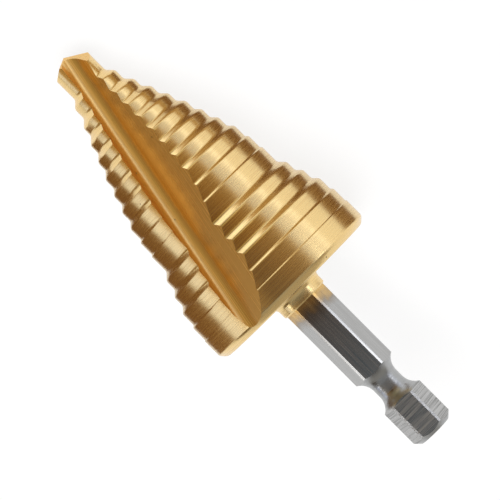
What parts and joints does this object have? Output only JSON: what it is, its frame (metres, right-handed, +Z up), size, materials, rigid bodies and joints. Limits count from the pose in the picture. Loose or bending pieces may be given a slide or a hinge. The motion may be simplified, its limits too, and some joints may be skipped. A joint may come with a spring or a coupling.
{
  "type": "step drill",
  "caption": "Cone-shaped step drill bit with two leaning V flutes, gold-coated cutting steps and a bare quarter-inch hex quick-change shank, lying on its side",
  "frame": {"origin": "on the floor, under the middle of the tool's length and width as it lies", "axes": "+X along the tool as it lies, from the point towards the shank; +Y across it; +Z up from the floor"},
  "size_m": [0.075, 0.029, 0.0292],
  "materials": {
    "coated_steel": "satin"
  },
  "bodies": {
    "root": {"step_drill": "coated_steel"}
  },
  "joints": []
}
